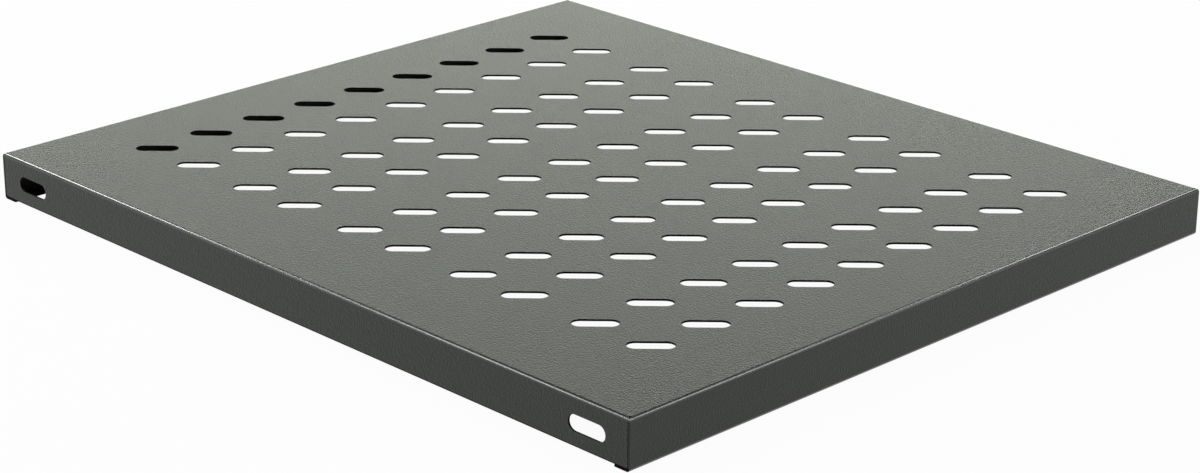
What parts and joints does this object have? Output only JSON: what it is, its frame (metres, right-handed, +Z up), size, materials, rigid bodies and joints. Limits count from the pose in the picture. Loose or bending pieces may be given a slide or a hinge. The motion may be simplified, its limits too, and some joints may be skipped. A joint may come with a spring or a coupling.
{
  "type": "rack shelf",
  "caption": "Fixed rack shelf folded from one steel sheet: flat deck with slanted vent slots, flanges turned down all round, lips under front and rear, slotted sides for bolting.",
  "frame": {"origin": "middle of the footprint, on the plane that the front and rear lips stand on", "axes": "+Z up, out of the deck; +Y from the front flange to the rear flange; +X across the width"},
  "size_m": [0.485, 0.55, 0.0298],
  "materials": {
    "powder_coat": "fine textured anthracite powder coat, semi-matt"
  },
  "bodies": {
    "root": {"shelf": "powder_coat"}
  },
  "joints": []
}
